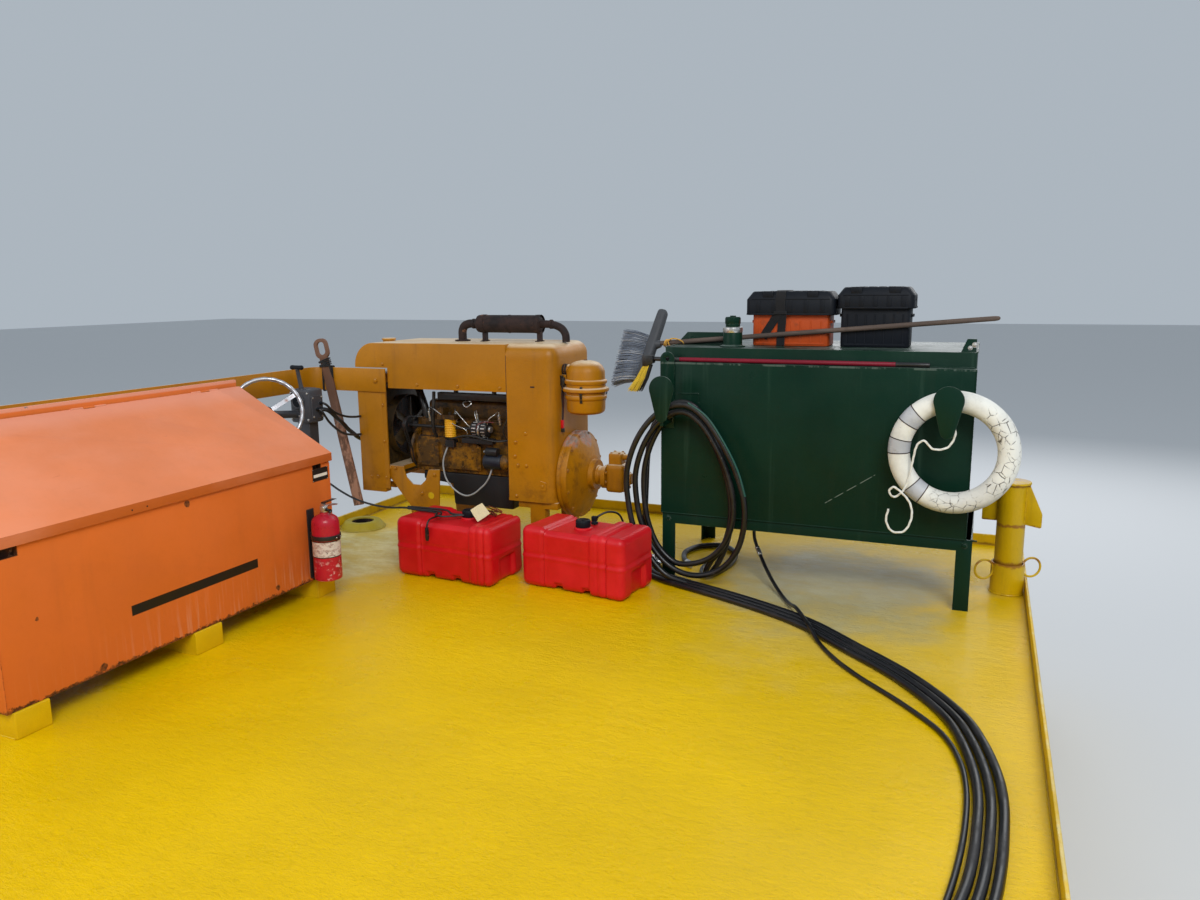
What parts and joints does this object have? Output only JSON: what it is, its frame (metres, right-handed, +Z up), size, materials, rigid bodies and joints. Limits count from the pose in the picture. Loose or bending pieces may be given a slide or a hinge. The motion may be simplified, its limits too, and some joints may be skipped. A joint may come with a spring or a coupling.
{
  "type": "river barge",
  "caption": "Flat decked steel work barge with a tool chest, engine driven pump, tank on a stand, mooring bollards, life ring and deck hoses.",
  "frame": {"origin": "centre of the hull's flat bottom, in its plane", "axes": "+X to starboard, +Y along the hull towards the end with the engine and tank, +Z up"},
  "size_m": [4.5298, 9.144, 2.8503],
  "materials": {
    "yellow_paint": "gloss",
    "orange_paint": "satin",
    "ochre_paint": "satin",
    "green_paint": "gloss",
    "red_paint": "gloss",
    "black_metal": "satin",
    "grey_metal": "satin",
    "rusty_steel": "rusty",
    "bare_steel": "satin",
    "red_plastic": "satin",
    "black_plastic": "matt",
    "orange_plastic": "matt",
    "ring_foam": "matt",
    "hose_rubber": "matt",
    "line_fibre": "woven",
    "broom_wood": "weathered"
  },
  "bodies": {
    "barge": {"hull": "yellow_paint", "deck_coaming": "yellow_paint", "socket_ring": "yellow_paint", "chest_body": "orange_paint", "extinguisher_bracket": "black_metal", "extinguisher_cylinder": "red_paint", "extinguisher_valve": "bare_steel", "guard_rail": "ochre_paint", "guard_column": "ochre_paint", "helm_post": "grey_metal", "throttle_lever": "grey_metal", "eye_bar": "rusty_steel", "engine_hood": "ochre_paint", "engine_cowl": "ochre_paint", "radiator": "black_metal", "fan_shroud": "ochre_paint", "engine_block": "ochre_paint", "engine_sump": "black_metal", "front_support": "ochre_paint", "rear_support": "ochre_paint", "bell_housing": "ochre_paint", "pump": "ochre_paint", "air_cleaner": "ochre_paint", "muffler": "rusty_steel", "fuel_tank_port": "red_plastic", "fuel_tank_starboard": "red_plastic", "green_tank": "green_paint", "tank_stand": "green_paint", "filler_neck": "green_paint", "hook_port": "green_paint", "hook_starboard": "green_paint", "battery_box_port": "orange_plastic", "battery_lid_port": "black_plastic", "battery_box_starboard": "black_plastic", "push_broom": "broom_wood", "deck_broom": "red_paint", "life_ring": "ring_foam", "hose_coil": "hose_rubber", "deck_hose_port": "hose_rubber", "deck_hose_middle": "hose_rubber", "deck_hose_starboard": "hose_rubber", "thin_hose": "hose_rubber", "hose_manifold": "bare_steel", "ring_line": "line_fibre", "control_cables": "hose_rubber", "fuel_hose": "hose_rubber", "jumper_cable": "hose_rubber", "bollard_fore_starboard": "yellow_paint", "collar_fore_starboard": "yellow_paint", "bollard_aft_starboard": "yellow_paint", "collar_aft_starboard": "yellow_paint", "bollard_aft_port": "yellow_paint", "collar_aft_port": "yellow_paint", "chest_runner_1": "yellow_paint", "chest_runner_2": "yellow_paint", "chest_runner_3": "yellow_paint"},
    "chest_lid": {"chest_lid": "orange_paint"},
    "steering_wheel": {"steering_wheel": "grey_metal"},
    "fan": {"fan": "ochre_paint"},
    "battery_lid": {"battery_lid_starboard": "black_plastic"}
  },
  "joints": [
    {"name": "chest_lid_hinge", "type": "hinge", "parent": "barge", "child": "chest_lid", "pos_m": [-1.938, 1.418, 2.33007], "axis": [0, -1, 0], "range_deg": [0, 100]},
    {"name": "wheel_turn", "type": "hinge", "parent": "barge", "child": "steering_wheel", "pos_m": [-1.985, 2.6, 2.15], "axis": [-0.683, 0.683, -0.2588], "range_deg": [-540, 540]},
    {"name": "fan_spin", "type": "hinge", "parent": "barge", "child": "fan", "pos_m": [-1.648, 3.572, 1.955], "axis": [1, 0, 0], "continuous": true},
    {"name": "battery_lid_lift", "type": "slide", "parent": "barge", "child": "battery_lid", "axis": [0, 0, 1], "range_m": [0, 0.3]}
  ]
}
